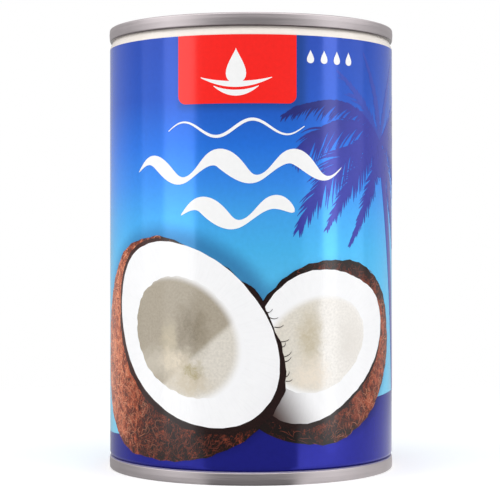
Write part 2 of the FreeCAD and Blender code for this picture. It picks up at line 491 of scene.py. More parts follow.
end_outline = panel_outline(0) + [
    (chuck_radius, 0, RIM_ROUND),
    (SEAM_RADIUS - SEAM_BULGE, 0, RIM_ROUND),
    (SEAM_RADIUS, SEAM_HEIGHT * BULGE_AT, BULGE_BEND),
    (SEAM_RADIUS - SEAM_BULGE, SEAM_HEIGHT, HEM_ROUND),
    (chuck_back, SEAM_HEIGHT, None),
] + panel_outline(PLATE)[::-1]
print("panel sunk %.2f mm under the rim" % PANEL_DEPTH)
print("bead at a radius of %.2f mm, step at %.2f mm" % (bead_radius, step_radius))

# %% [markdown]
# ## Bare tinplate
# The ends are tinplate with no print: steel, rolled, with a few tenths of a micron of tin. The eye sees a
# soft grey metal, warmer and duller than chrome, with rolling lines that all run one way across a panel. On
# the seam the rollers have drawn them out round the can instead. Real rolling lines are some hundredths of
# a millimetre apart. Drawn so fine they would blur away, so here they are about 0.3 mm apart.

# %% Make tinplate
ROLLING_LINE, ROLLING_LENGTH, ROLLING_DEPTH = 0.3, 14.0, 0.002
LINE_SHADES, CLOUD_SHADES = (0.9, 1.06), (0.94, 1.03)
TIN_CLOUDS = 90.0  # to the metre
SEAM_LINES_FROM, SEAM_LINES_FADE = 0.2, 0.4
print("rolling lines are %.1f mm apart and %.0f mm long" % (ROLLING_LINE, ROLLING_LENGTH))


def tinplate(name, hex_text, rough_low, rough_high):
    """Rolled tinplate, with rolling lines across its panel and round its seam."""
    material = bpy.data.materials.new(name)
    material.use_nodes = True
    tree = material.node_tree
    shader = tree.nodes["Principled BSDF"]
    shader.inputs["Metallic"].default_value = 1.0

    where = add(tree, "TexCoord").outputs["Object"]
    panel_scale = {"Vector": where, "Scale": (1 / (ROLLING_LENGTH * MM), 1 / (ROLLING_LINE * MM), 1.0)}
    round_scale = {"Vector": label_place(tree), "Scale": (1 / ROLLING_LENGTH, 1 / ROLLING_LINE, 1.0)}
    panel_lines, round_lines = (add(tree, "Mapping", scale) for scale in (panel_scale, round_scale))
    flat_place = add(tree, "VectorMath", {0: where, 1: (1, 1, 0)}, operation="MULTIPLY")
    radius = add(tree, "VectorMath", {0: flat_place}, operation="LENGTH")
    edge = (chuck_foot - SEAM_LINES_FROM) * MM
    limits = {"Value": radius, "From Min": edge, "From Max": edge + SEAM_LINES_FADE * MM}
    on_seam = add(tree, "MapRange", limits)
    lines_at = add(tree, "Mix", {"Factor": on_seam, "A": panel_lines, "B": round_lines}, data_type="VECTOR")
    lines = add(tree, "TexNoise", {"Vector": lines_at, "Scale": 1.0, "Detail": 3.0, "Roughness": 0.65})

    darkest, lightest = LINE_SHADES
    limits = {"Value": lines, "From Min": 0.25, "From Max": 0.75, "To Min": darkest, "To Max": lightest}
    shade = add(tree, "MapRange", limits)
    cloudy = patches(tree, where, TIN_CLOUDS, CLOUD_SHADES, Detail=3.0)
    strength = add(tree, "Math", {0: shade, 1: cloudy}, operation="MULTIPLY")
    metal = add(tree, "VectorMath", {0: colour(hex_text)[:3], "Scale": strength}, operation="SCALE")
    tree.links.new(metal.outputs[0], shader.inputs["Base Color"])

    limits = {"Value": lines, "From Min": 0.3, "From Max": 0.7, "To Min": rough_low, "To Max": rough_high}
    roughness = add(tree, "MapRange", limits)
    tree.links.new(roughness.outputs[0], shader.inputs["Roughness"])
    bump = add(tree, "Bump", {"Height": lines, "Distance": ROLLING_DEPTH * MM, "Strength": 1.0})
    tree.links.new(bump.outputs["Normal"], shader.inputs["Normal"])
    return material


# %% Turn the two ends
def head_of(outline):
    """The outline of a piece at the foot, turned over for the head."""
    return [(radius, CAN_HEIGHT - height, bend) for radius, height, bend in outline]


end_metal = tinplate("rolled_tinplate", "#c2babc", 0.4, 0.5)
for name, outline, node in (
    ("seamed_bottom_end", end_outline, "bottom_end"),
    ("seamed_top_end", head_of(end_outline), "top_end"),
):
    end = turned(name, outline, [end_metal])
    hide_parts(node)
    print(name, "has", len(end.data.polygons), "faces")

# %% [markdown]
# ## The line at a seam's hem
# The folds of a seam are sealed inside with rubber. Where the seam's hem meets the neck, the eye sees a fine
# line round the can: dark at the head, where the hem shades it, and a dull violet grey at the foot, which
# faces up to the light. Each is a thin turned ring here that fills the crevice, tucked against the hem, and
# its colour is painted light: a painted shade at the head and a painted sheen at the foot.

# %% Paint the line at each seam's hem
CREASE_LINE_REACH, CREASE_LINE_DROP, CREASE_LINE_BEND = 0.72, 0.2, 0.1
crease_line_outline = [
    (lip, SEAM_HEIGHT, None),
    (NECK_RADIUS + CREASE_LINE_REACH, SEAM_HEIGHT, None),
    (NECK_RADIUS + CREASE_LINE_REACH, SEAM_HEIGHT + CREASE_LINE_DROP, CREASE_LINE_BEND),
    (lip, SEAM_HEIGHT + CREASE_LINE_DROP, None),
]
# The rings' colours are painted light: the dark head ring is a painted shade under the hem, and the dull
# violet grey foot ring is a painted sheen.
for name, outline, tone, hex_text, depth in (
    ("bottom_seam_painted_sheen", crease_line_outline, "dull", "#8c86a8", 0.1),
    ("top_seam_painted_shade", head_of(crease_line_outline), "dark", "#4c4144", 0.2),
):
    crease_ink = varnished_ink("%s_painted_crease_line" % tone, grained, hex_text, 0.8, depth)
    ring = turned(name, outline, [crease_ink])
    print(name, "fills the crevice", CREASE_LINE_DROP, "mm high")

# %% [markdown]
# ## Ink as a thin film
# A drawn shape could be a mask in the wall's material, but a mask is only as sharp as the picture that it
# is baked to, and a knife-sharp edge is what makes print look like print. So each shape of the design is a
# film of its own: its outline is filled flat, cut into narrow upright strips and then wrapped round the
# wall. A real ink film is about 0.005 mm thick. Here each stands 0.012 mm over the one before, just enough
# to keep them apart.

# %% Wrap flat shapes round the wall
INK_STEP = 0.012
STRIP = WALL_RADIUS * math.radians(1)
# What the filling is asked for: only what lies within the loops, with points joined that are this near.
WITHIN_LOOPS, JOIN_WITHIN = 1, 1e-4
print("a film is cut into strips %.2f mm wide" % STRIP)


def on_wall(around, height, radius):
    """The place in space of a spot of the label."""
    angle = around / WALL_RADIUS
    return (radius * math.sin(angle), -radius * math.cos(angle), height)


def film(name, outlines, layer, material):
    """Fills closed outlines, lists of (around, height) in mm, as one film. Where they overlap they join."""
    points, edges, loops = [], [], []
    for outline in outlines:
        turned_left = sum(a[0] * b[1] - b[0] * a[1] for a, b in zip(outline, outline[1:] + outline[:1])) > 0
        loop = outline if turned_left else outline[::-1]
        loops.append(list(range(len(points), len(points) + len(loop))))
        points += [Vector(p) for p in loop]
    left, right = min(p.x for p in points), max(p.x for p in points)
    low, high = min(p.y for p in points) - 1, max(p.y for p in points) + 1
    for k in range(math.ceil(left / STRIP), math.floor(right / STRIP) + 1):
        edges.append((len(points), len(points) + 1))
        points += [Vector((k * STRIP, low)), Vector((k * STRIP, high))]
    flat, _, triangles, _, _, owners = delaunay_2d_cdt(points, edges, loops, WITHIN_LOOPS, JOIN_WITHIN, True)
    triangles = [t for t, owner in zip(triangles, owners) if owner]

    count = len(flat)
    outer, inner = WALL_RADIUS + layer * INK_STEP, WALL_RADIUS - INK_STEP
    places = [on_wall(p.x, p.y, outer) for p in flat] + [on_wall(p.x, p.y, inner) for p in flat]
    ways = [(math.sin(p.x / WALL_RADIUS), -math.cos(p.x / WALL_RADIUS), 0.0) for p in flat]
    faces, directions, sides = [], [], {}
    for triangle in triangles:
        a, b, c = (flat[i] for i in triangle)
        corners = list(triangle) if (b - a).cross(c - a) > 0 else list(triangle)[::-1]
        faces.append(corners)
        directions += [ways[i] for i in corners]
        faces.append([i + count for i in reversed(corners)])
        directions += [tuple(-part for part in ways[i]) for i in reversed(corners)]
        sides.update(dict.fromkeys(zip(corners, corners[1:] + corners[:1])))
    for one, two in sides:
        if (two, one) not in sides:
            faces.append([two, one, one + count, two + count])
            run = (flat[two] - flat[one]).normalized()
            directions += [(-run.y * ways[one][1], run.y * ways[one][0], -run.x)] * 4
    used = sorted({i for face in faces for i in face})
    new_number = {old: new for new, old in enumerate(used)}
    faces = [[new_number[i] for i in face] for face in faces]
    piece = make_piece(name, [places[i] for i in used], faces, directions, [material])
    print("%-28s %6d faces, %.3f mm over the wall" % (name, len(faces), outer - WALL_RADIUS))
    return piece


# %% [markdown]
# ## Drawing outlines
# A few kinds of outline draw the whole label. A bow is a path with one bend, and a stroke follows a path
# with a width that swells and thins. An ellipse with three lobes draws whatever grew, and waves at random
# make its edge rough. A drop is one formula.


# %% Outlines
THINNEST_STROKE = 0.01


def bowed(start, control, end, steps=16):
    """An open quadratic Bezier from start to end, pulled towards control."""
    path = []
    for k in range(steps + 1):
        t = k / steps
        near, pull, far = (1 - t) ** 2, 2 * t * (1 - t), t**2
        path.append(tuple(s * near + c * pull + e * far for s, c, e in zip(start, control, end)))
    return path


def stroke(path, half_width):
    """The outline of a line drawn along a path. half_width gives half its width for a share of its length."""
    left, right = [], []
    last = len(path) - 1
    for k, (x, y) in enumerate(path):
        (ax, ay), (bx, by) = path[max(k - 1, 0)], path[min(k + 1, last)]
        run = Vector((bx - ax, by - ay)).normalized() * max(half_width(k / last), THINNEST_STROKE)
        left.append((x - run.y, y + run.x))
        right.append((x + run.y, y - run.x))
    return left + right[::-1]


def lobed(centre, half_axes, turn, swell, way, steps=120):
    """A turned ellipse that swells by a share of its reach in three places, one of them at `way` degrees."""
    outline = []
    c, s = math.cos(math.radians(turn)), math.sin(math.radians(turn))
    for k in range(steps):
        angle = 2 * math.pi * k / steps
        reach = 1 + swell * math.cos(3 * (angle - math.radians(way)))
        x, y = half_axes[0] * reach * math.cos(angle), half_axes[1] * reach * math.sin(angle)
        outline.append((centre[0] + x * c - y * s, centre[1] + x * s + y * c))
    return outline


def roughened(outline, depth, rng, waves=(5, 9, 14, 23, 37)):
    """The outline with its edge let in and out by a few waves at random, `depth` mm for each at most."""
    middle = sum((Vector(p) for p in outline), Vector((0, 0))) / len(outline)
    shifts = [(wave, rng.uniform(0.3, 1.0) * depth, rng.uniform(0, 2 * math.pi)) for wave in waves]
    rough = []
    for k, point in enumerate(outline):
        angle = 2 * math.pi * k / len(outline)
        out = (Vector(point) - middle).normalized()
        shift = sum(size * math.sin(wave * angle + start) for wave, size, start in shifts)
        rough.append(tuple(Vector(point) + out * shift))
    return rough


DROP_WIDTH, DROP_POINT = 0.42, 1.6


def drop(centre, height, steps=28):
    """A falling drop: round below and pointed on top."""
    outline = []
    for k in range(steps):
        t = 2 * math.pi * k / steps
        width = math.sin(t) * abs(math.sin(t / 2)) ** DROP_POINT
        outline.append((centre[0] - height * DROP_WIDTH * width, centre[1] + height / 2 * math.cos(t)))
    return outline


print("a drop is drawn with", len(drop((0, 0), 1)), "points")

# %% [markdown]
# ## The ground and the weld
# The dark blue ground rises a little to one side, as a slanted cut through a tube does, so it closes on
# itself at the back. There the sheet's two edges overlap by less than half a millimetre and are welded.
# Printers leave that strip bare, because ink would spoil the weld, and a clear lacquer covers it
# afterwards.

# %% Lay the ground
GROUND_TURN = 3  # degrees from one point of its edge to the next
GROUND_STEP = math.radians(GROUND_TURN) * WALL_RADIUS


def ground_top(around):
    """The height of the ground's edge at a distance round from the front."""
    return GROUND_LEVEL + GROUND_TILT * math.sin(around / WALL_RADIUS)


def upright_box(left, right, low, high):
    """The outline of an upright box."""
    return [(left, low), (right, low), (right, high), (left, high)]


ground_halves = []
half_turn = 180 // GROUND_TURN
for first, last in ((-half_turn, 0), (0, half_turn)):
    horizon = [(k * GROUND_STEP, ground_top(k * GROUND_STEP)) for k in range(first, last + 1)]
    ground_halves.append(horizon + [(last * GROUND_STEP, PRINT_FOOT), (first * GROUND_STEP, PRINT_FOOT)])
film("ground_ink_film", ground_halves, 1, ground_ink)

# %% Leave the weld bare
STRIPE_HALF, WELD_HALF = 2.0, 0.35
stripe_metal = tinplate("lacquered_weld_stripe", "#cfc8bd", 0.26, 0.36)
weld_metal = tinplate("forged_weld_bead", "#8f8a86", 0.34, 0.46)
for name, half_width, layer, metal in (
    ("weld_stripe", STRIPE_HALF, 2, stripe_metal),
    ("weld_bead", WELD_HALF, 8, weld_metal),
):
    outline = upright_box(BACK - half_width, BACK + half_width, PRINT_FOOT, PRINT_HEAD)
    film(name, [outline], layer, metal)

# %% [markdown]
# ## A palm in silhouette
# A palm leaf is one long rib with a row of thin leaflets down each side. They are longest at its middle,
# lie forward towards its tip, and hang with their own weight. Drawn like that, rib first and leaflets
# after, a few ribs give a whole crown. On the label it is one ink, a violet blue, a little deeper at the
# tips of the leaves.

# %% Paint the palm
CROWN = (39.0, 82.5)
CROWN_REACH, DEEP_FROM, DEEP_FULL, DEEP_ABOVE = 20.0, 0.4, 1.3, 8.0


def palm_paint(tree, place):
    """Violet blue, deeper towards the tips of the leaves that rise over the crown."""
    reach = outside_ellipse(tree, place, CROWN, (CROWN_REACH, CROWN_REACH), 0, DEEP_FROM, DEEP_FULL)
    high = along(tree, place, 90, CROWN[1] - DEEP_ABOVE, CROWN[1] + DEEP_ABOVE)
    deep = add(tree, "Math", {0: reach, 1: high}, operation="MULTIPLY")
    return two_tone(tree, place, deep, ("#3f44ad", "#2b3384"), 1.0, 0.05)


palm_ink = varnished_ink("litho_violet_blue_on_tinplate", palm_paint, metal_share=BLUE_METAL_SHARE)
far_palm_ink = varnished_ink(
    "litho_pale_violet_blue_on_tinplate", grained, "#3c52bb", 1.0, 0.05, metal_share=BLUE_METAL_SHARE
)
print("the crown stands %.1f mm high, %.1f mm round from the front" % CROWN[::-1])


# %% Draw a palm leaf
def swung(direction, angle):
    """A direction in the plane of the label, turned by an angle."""
    c, s = math.cos(angle), math.sin(angle)
    return Vector((direction.x * c - direction.y * s, direction.x * s + direction.y * c))


LEAFLET_GAP, BARE_PAIRS = 0.62, 3
# Degrees off the rib, at its foot and at its tip, and how far in radians a leaflet strays from that.
LEAFLET_SWEEP, LEAFLET_STRAY = (58, 16), 0.12
# Shares of a leaf's longest leaflet: the shortest, and what chance does to each. Under 1, the lean puts the
# longest ones nearer the foot.
LEAFLET_SHORTEST, LONGEST_LEAN, LEAFLET_CHANCE = 0.25, 0.8, (0.7, 1.15)
# A leaflet that points up by more than this share of its length is cut short, as if it were seen end on.
RISING_FROM, RISING_SHARE = 0.2, 0.4
LEAFLET_BEND, LEAFLET_HALF, LEAFLET_TIP = 0.6, 0.27, 0.03
RIB_HALF, RIB_TAPER = 0.6, 0.5


def palm_leaf(start, control, end, length, hang, rng):
    """A leaf: its rib, and leaflets that stand out from it at its foot and lie forward at its tip."""
    run = (Vector(end) - Vector(start)).length
    rib = bowed(start, control, end, max(12, round(run / LEAFLET_GAP)))
    count = len(rib) - 1
    outlines = [stroke(rib, lambda t: RIB_HALF - RIB_TAPER * t)]
    for k in range(BARE_PAIRS, count):
        share = k / count
        base = Vector(rib[k])
        run = (Vector(rib[k + 1]) - Vector(rib[k - 1])).normalized()
        angle = math.radians(LEAFLET_SWEEP[0] + (LEAFLET_SWEEP[1] - LEAFLET_SWEEP[0]) * share)
        for side in (-1, 1):
            out = swung(run, angle * side + rng.uniform(-LEAFLET_STRAY, LEAFLET_STRAY))
            swell = (1 - LEAFLET_SHORTEST) * math.sin(math.pi * share**LONGEST_LEAN)
            size = length * (LEAFLET_SHORTEST + swell) * rng.uniform(*LEAFLET_CHANCE)
            if out.y > RISING_FROM:
                size *= RISING_SHARE
            middle = base + out * size * LEAFLET_BEND
            tip = base + out * size + Vector((0, -hang * size))
            leaflet = bowed(base, middle, tip, 5)
            outlines.append(stroke(leaflet, lambda t: LEAFLET_HALF * (1 - t**2) + LEAFLET_TIP))
    return outlines


# %% Grow the crown
# Each leaf: the point that pulls its rib, its tip, and how long and how limp its leaflets are.
NEAR_LEAVES = [
    ((24.0, 97.5), (7.5, 88.0), 5.2, 0.35),
    ((20.0, 93.0), (11.0, 77.0), 8.0, 0.35),
    ((24.0, 86.0), (11.5, 61.0), 8.5, 0.25),
    ((30.0, 80.0), (19.0, 61.0), 5.5, 0.2),
    ((35.5, 72.0), (26.0, 57.0), 4.0, 0.15),
    ((54.0, 97.0), (73.0, 88.0), 5.5, 0.35),
    ((60.0, 94.0), (71.0, 74.0), 8.0, 0.35),
    ((55.0, 86.0), (66.0, 62.0), 8.5, 0.25),
    ((46.0, 76.0), (52.0, 57.0), 4.5, 0.15),
]
FAR_LEAVES = [
    ((33.0, 91.0), (22.0, 99.5), 5.5, 0.0),
    ((38.0, 94.0), (31.0, 104.5), 5.0, 0.0),
    ((43.0, 95.0), (49.0, 104.5), 4.5, 0.0),
    ((50.0, 92.0), (62.0, 100.0), 5.0, 0.0),
]
for name, leaves, layer, ink, seed in (
    ("palm_leaves_far", FAR_LEAVES, 2, far_palm_ink, 5),
    ("palm_leaves_near", NEAR_LEAVES, 3, palm_ink, 7),
):
    rng = random.Random(seed)
    crown = []
    for control, tip, length, hang in leaves:
        crown += palm_leaf(CROWN, control, tip, length, hang, rng)
    film(name, crown, layer, ink)

# The trunk leans in from the ground, and three nuts hang under its crown.
TRUNK_FOOT, TRUNK_PULL, TRUNK_HALF, TRUNK_TAPER = 53.0, (48.0, 52.0), 2.2, 0.9
NUT_RADIUS, NUT_PLACES = 1.9, ((-1.6, -4.8), (1.4, -4.4), (0, -6.6))
trunk = bowed((TRUNK_FOOT, ground_top(TRUNK_FOOT)), TRUNK_PULL, CROWN, 24)
nuts = [lobed((CROWN[0] + x, CROWN[1] + y), (NUT_RADIUS, NUT_RADIUS), 0, 0, 0) for x, y in NUT_PLACES]
film("palm_trunk", [stroke(trunk, lambda t: TRUNK_HALF - TRUNK_TAPER * t)] + nuts, 4, palm_ink)

# %% [markdown]
# ## The red tab
# A block of warm red hangs from the head of the print, with its lower corners rounded. On it is a plain
# device in white, a drop over two ripples, which says no more than that the can holds something to pour.

# %% Print the tab and its device
RED_METAL_SHARE = 0.04
DROP_HEIGHT, DROP_MIDDLE = 8.4, 100.0
RIPPLE_REACHES, RIPPLE_TOP, RIPPLE_GAP = (8.6, 5.4), 95.935, 2.07
RIPPLE_RISE, RIPPLE_DIP, RIPPLE_TIP, RIPPLE_SWELL = 1.3, 2.0, 0.08, 0.62


def rounded_corner(centre, radius, start, steps=8):
    """A quarter circle, from `start` degrees on."""
    turns = [math.radians(start + 90 * k / steps) for k in range(steps + 1)]
    return [(centre[0] + radius * math.cos(a), centre[1] + radius * math.sin(a)) for a in turns]


red_ink = varnished_ink("litho_red_on_tinplate", grained, "#ff231d", 1.0, 0.03, metal_share=RED_METAL_SHARE)
white_ink = varnished_ink("litho_white_on_tinplate", grained, "#f8f8f8", 1.2, 0.015)
tab = rounded_corner((TAB_LEFT + TAB_ROUND, TAB_FOOT + TAB_ROUND), TAB_ROUND, 180)
tab += rounded_corner((TAB_RIGHT - TAB_ROUND, TAB_FOOT + TAB_ROUND), TAB_ROUND, 270)
tab += [(TAB_RIGHT, PRINT_HEAD), (TAB_LEFT, PRINT_HEAD)]
film("red_tab", [tab], 4, red_ink)

device = [drop((TAB_MIDDLE, DROP_MIDDLE), DROP_HEIGHT)]
for k, reach in enumerate(RIPPLE_REACHES):
    level = RIPPLE_TOP - k * RIPPLE_GAP
    left, right = ((TAB_MIDDLE + side * reach, level + RIPPLE_RISE) for side in (-1, 1))
    ripple = bowed(left, (TAB_MIDDLE, level - RIPPLE_DIP), right, 28)
    device.append(stroke(ripple, lambda t: RIPPLE_TIP + RIPPLE_SWELL * math.sin(math.pi * t)))
film("tab_device", device, 5, white_ink)

# %% [markdown]
# ## Ribbons of milk
# Two white ribbons stand for the milk that the can holds. Each follows a wave, and swells where the wave
# falls and thins where it climbs, as a poured stream does when a brush draws it. Above them runs one
# hair-thin line.


# %% Pour the ribbons
def wave(left, right, level, height, waves, lean, steps=90):
    """A path from left to right that rises and falls, and climbs by `lean` along its length."""
    path = []
    for k in range(steps + 1):
        t = k / steps
        swing = math.sin(2 * math.pi * waves * t)
        path.append((left + (right - left) * t, level + height * swing + lean * (t - 0.5)))
    return path


# The ribbon's width: how bluntly its ends close, its mean share, how much it swings, and how early.
END_BLUNTNESS, WIDTH_MEAN, WIDTH_SWING, WIDTH_LEAD = 0.45, 0.62, 0.38, 0.6


def ribbon_width(t, waves, widest):
    """Half the ribbon's width: nothing at both ends, and most on each falling stretch."""
    swing = math.cos(2 * math.pi * waves * t + WIDTH_LEAD)
    return widest * math.sin(math.pi * t) ** END_BLUNTNESS * (WIDTH_MEAN - WIDTH_SWING * swing)


RIBBONS = [
    # left, right, level, height of the wave, waves, lean, widest half width
    (-31.0, 23.5, 75.6, 2.6, 3.0, 1.0, 2.5),
    (-17.5, 10.5, 64.8, 2.5, 1.5, 0.8, 2.7),
]
ribbons = []
for left, right, level, height, waves, lean, widest in RIBBONS:
    path = wave(left, right, level, height, waves, lean)
    ribbons.append(stroke(path, lambda t: ribbon_width(t, waves, widest)))
film("milk_ribbons", ribbons, 4, white_ink)

HAIRLINE, HAIRLINE_ENDS = 0.28, 0.35
FLOURISH = (-21.0, 13.0, 85.2, 1.9, 2.0, 1.0)
curl = stroke(wave(*FLOURISH), lambda t: HAIRLINE * (HAIRLINE_ENDS + math.sin(math.pi * t)))
film("hairline_flourish", [curl], 5, white_ink)

SMALL_DROPS, SMALL_DROP_GAP, SMALL_DROP_HEIGHT, FIRST_SMALL_DROP = 4, 3.7, 3.2, (14.6, 102.4)
first_x, level = FIRST_SMALL_DROP
drops = [drop((first_x + SMALL_DROP_GAP * k, level), SMALL_DROP_HEIGHT) for k in range(SMALL_DROPS)]
film("small_drops", drops, 5, white_ink)

# %% [markdown]
# ## Half a coconut
# A sawn coconut shows four things from the outside in: a hairy brown husk, a thin and nearly black shell,
# thick white flesh, and the hollow, grey with its own shade and stained by the water that stood in it.
# Printed, each is a layer of ink over the last. So each half is four films, one in the other, and two more
# for loose fibres. A nut is nearly an ellipse, but swells a little in three places, because its shell has
# three seams.

# %% Name the two halves
# For each outline: centre, half axes, turn in degrees, how much it swells, and where. Lit and shaded sides
# are a direction in degrees, and how far along it the light or shade begins and is full.
COCONUTS = {
    "left": {
        "husk": ((-22.9, 30.9), (28.8, 26.5), -30, 0.05, 8),
        "shell": ((-15.9, 34.8), (19.5, 27.1), 50, 0.017, 32),
        "flesh": ((-16.1, 35.9), (18.7, 26.0), 48, 0.007, 27),
        "hollow": ((-16.4, 35.1), (16.6, 13.0), -40, 0.015, -2),
        "layer": 7,
        "seed": 11,
        "pole": (-27.0, -24.0),
        "lit": (165, 20.0, 52.0),
        "fibres": {"dark": 260, "light": 520},
        "coir_depths": (-0.13, 0.42),
        "dark_rim": ((-22.7, 20.0), (60.0, 36.0), 0, 0.96, 1.06),
        "flesh_shade": ("#e3e0e5", (-30, -12.0, 6.0)),
        "hollow_sides": ("#aaa08f", "#d9d3c8"),
        "hollow_split": (-50, -33.4, -31.6),
        "hollow_fade": ((-18.4, 34.9), (16.4, 13.8), -40, 0.9, 1.08),
        "stains": [
            ((-14.6, 37.0), (5.6, 8.0), "#857a66"),
            ((-25.0, 28.5), (8.0, 5.0), "#cac2b3"),
            ((-20.8, 33.5), (3.4, 7.0), "#c3b79e"),
            ((-19.0, 29.0), (6.0, 4.6), "#ddd1bc"),
            ((-15.5, 24.0), (8.0, 4.2), "#c9bca4"),
            ((-14.6, 27.4), (4.2, 2.8), "#a6986f"),
        ],
    },
    "right": {
        "husk": ((21.0, 31.9), (21.2, 23.9), -52, 0.027, 59),
        "husk_toe": ((9.6, 15.2), (11.0, 4.8), -16, 0.0, 0),
        "shell": ((18.3, 33.1), (17.2, 21.3), -53, 0.074, 59),
        "flesh": ((18.7, 33.7), (16.6, 20.7), -53, 0.077, 59),
        "hollow": ((16.4, 34.0), (14.6, 11.6), 15, 0.035, 1),
        "layer": 2,
        "seed": 12,
        "pole": (20.0, -18.0),
        "lit": (-20, 9.0, 43.0),
        "fibres": {"dark": 90, "light": 200},
        "coir_depths": (0.04, 0.38),
        "dark_rim": ((21.0, 31.9), (21.2, 23.9), -52, 0.84, 1.04),
        "flesh_shade": ("#45302a", (210, -24.4, -12.1)),
        "hollow_sides": ("#ddd7cb", "#efebe5"),
        "hollow_split": (0, 15.6, 18.4),
        "hollow_fade": ((18.0, 33.4), (14.9, 11.7), 14, 0.86, 1.05),
        "stains": [
            ((14.5, 35.0), (4.5, 9.0), "#c5b99f"),
            ((14.8, 26.0), (6.0, 6.0), "#ece0cf"),
            ((26.5, 34.0), (6.0, 9.0), "#e4dfd8"),
        ],
    },
}
print("outlines of", ", ".join("the %s half" % side for side in COCONUTS), "named")

# %% [markdown]
# ## Husk and shell
# Coir is a mat of stiff hairs that lie roughly towards the nut's pole, curl where they are loose, and stand
# in clumps. Three noises say so: one drawn out along the lie, one curled, and one as coarse as a clump.
# Their sum is a depth, and the depth picks a brown, from near black in the pits to tan on the crests. A
# real hair is about 0.2 mm wide, and it is drawn a little wider, so that it still shows.


# %% Paint the husk and the shell
# Sizes of the coir in mm: how wide and long its strands are, how wide a curl, and how wide a clump.
COIR, COIR_LENGTH, COIR_CURL, COIR_CLUMP = 0.36, 2.0, 0.75, 3.6
CURL_SHARE, COIR_WINDOW = 0.7, (0.4, 0.62)
CLUMP_DEPTHS, CLUMP_WINDOW = (-0.17, 0.09), (0.4, 0.6)
COIR_LIGHT, RIM_SHADE = 0.58, 0.24
POLE_SPREAD = 45.0
BROWNS = [
    (0.0, "#170b09"),
    (0.2, "#43180f"),
    (0.4, "#7e3620"),
    (0.6, "#b15638"),
    (0.8, "#da7b52"),
    (1.0, "#fba87a"),
]


def towards_pole(tree, place, pole):
    """An address on the nut: how far round its pole a spot lies, in mm at POLE_SPREAD, and how far out."""
    out = add(tree, "VectorMath", {0: place, 1: (*pole, 0)}, operation="SUBTRACT")
    axes = add(tree, "SeparateXYZ", {0: out}).outputs
    turn = add(tree, "Math", {0: axes["X"], 1: axes["Y"]}, operation="ARCTAN2")
    across = add(tree, "Math", {0: turn, 1: POLE_SPREAD}, operation="MULTIPLY")
    reach = add(tree, "VectorMath", {0: out}, operation="LENGTH")
    return add(tree, "CombineXYZ", {"X": across, "Y": reach})


def husk_paint(tree, place, nut):
    """Matted coir, lit from one side, and darker at the rim."""
    scale = {"Vector": towards_pole(tree, place, nut["pole"]), "Scale": (1 / COIR, 1 / COIR_LENGTH, 1)}
    laid = {"Vector": add(tree, "Mapping", scale), "Scale": 1.0, "Detail": 3.0, "Distortion": 0.8}
    curled = {"Vector": place, "Scale": 1 / COIR_CURL, "Detail": 5.0, "Roughness": 0.65, "Distortion": 2.4}
    strands, curls = (add(tree, "TexNoise", settings) for settings in (laid, curled))
    mat = add(tree, "Mix", {"Factor": CURL_SHARE, "A": strands, "B": curls}, data_type="FLOAT")
    (low, high), (pit, crest) = COIR_WINDOW, nut["coir_depths"]
    limits = {"Value": mat, "From Min": low, "From Max": high, "To Min": pit, "To Max": crest}
    depth = add(tree, "MapRange", limits)
    clumps = patches(tree, place, 1 / COIR_CLUMP, CLUMP_DEPTHS, CLUMP_WINDOW, Detail=3.0, Distortion=1.2)
    lifted = add(tree, "Math", {0: depth, 1: clumps}, operation="ADD")
    facing = along(tree, place, *nut["lit"])
    bright = add(tree, "Math", {0: facing, 1: COIR_LIGHT, 2: lifted}, operation="MULTIPLY_ADD")
    rim = outside_ellipse(tree, place, *nut["dark_rim"])
    bright = add(tree, "Math", {0: rim, 1: -RIM_SHADE, 2: bright}, operation="MULTIPLY_ADD")
    return add(tree, "ValToRGB", {"Fac": bright}, stops=BROWNS)


def lit_paint(tree, place, lit, hexes, size, depth):
    """A dim ink and a bright one, that take the same light as the husk round them."""
    return two_tone(tree, place, along(tree, place, *lit), hexes, size, depth)


shell_hexes = ("#1f0a08", "#3f1a13")
shell_ink = varnished_ink(
    "litho_black_brown_on_tinplate", lit_paint, COCONUTS["left"]["lit"], shell_hexes, 0.5, 0.5
)
print("coir has %d browns, and strands %.2f mm wide" % (len(BROWNS), COIR))

# %% [markdown]
# ## Flesh and hollow
# The flesh is white, with faint fibres that run out from its middle, and it darkens where the nut turns from
# the light. The hollow is two tones that meet along a line, because one of its sides lies in shade. Over
# them go soft stains with ragged edges, and where the hollow faces the light it is lost in the white round
# it.

# %% Paint the flesh and the hollow
FLESH_WHITE = "#f8f8f9"
FLESH_FIBRE, FLESH_FIBRE_LENGTH = 1.1, 6.0
FLESH_FIBRE_SHADES, FLESH_FIBRE_WINDOW = (0.975, 1.0), (0.3, 0.5)
STAIN_PATCHES, STAIN_COVER, STAIN_WINDOW = 0.9, (0.45, 1.0), (0.35, 0.6)
STAIN_FULL, STAIN_END = 0.1, 1.1
DRIFT_PATCHES, DRIFT = 0.3, 7.0


def flesh_paint(tree, place, nut):
    """White flesh, shaded towards one side, with faint fibres that run out from its middle."""
    shade_hex, shade = nut["flesh_shade"]
    white = grained(tree, place, FLESH_WHITE, 1.6, 0.01)
    dull = grained(tree, place, shade_hex, 1.6, 0.03)
    shading = along(tree, place, *shade)
    shaded = add(tree, "Mix", {"Factor": shading, "A": white, "B": dull}, data_type="RGBA")
    address = towards_pole(tree, place, nut["hollow"][0])
    fibre_scale = (1 / FLESH_FIBRE, 1 / FLESH_FIBRE_LENGTH, 1)
    laid = add(tree, "Mapping", {"Vector": address, "Scale": fibre_scale})
    strength = patches(tree, laid, 1.0, FLESH_FIBRE_SHADES, FLESH_FIBRE_WINDOW, Detail=3.0)
    return add(tree, "VectorMath", {0: shaded, "Scale": strength}, operation="SCALE")


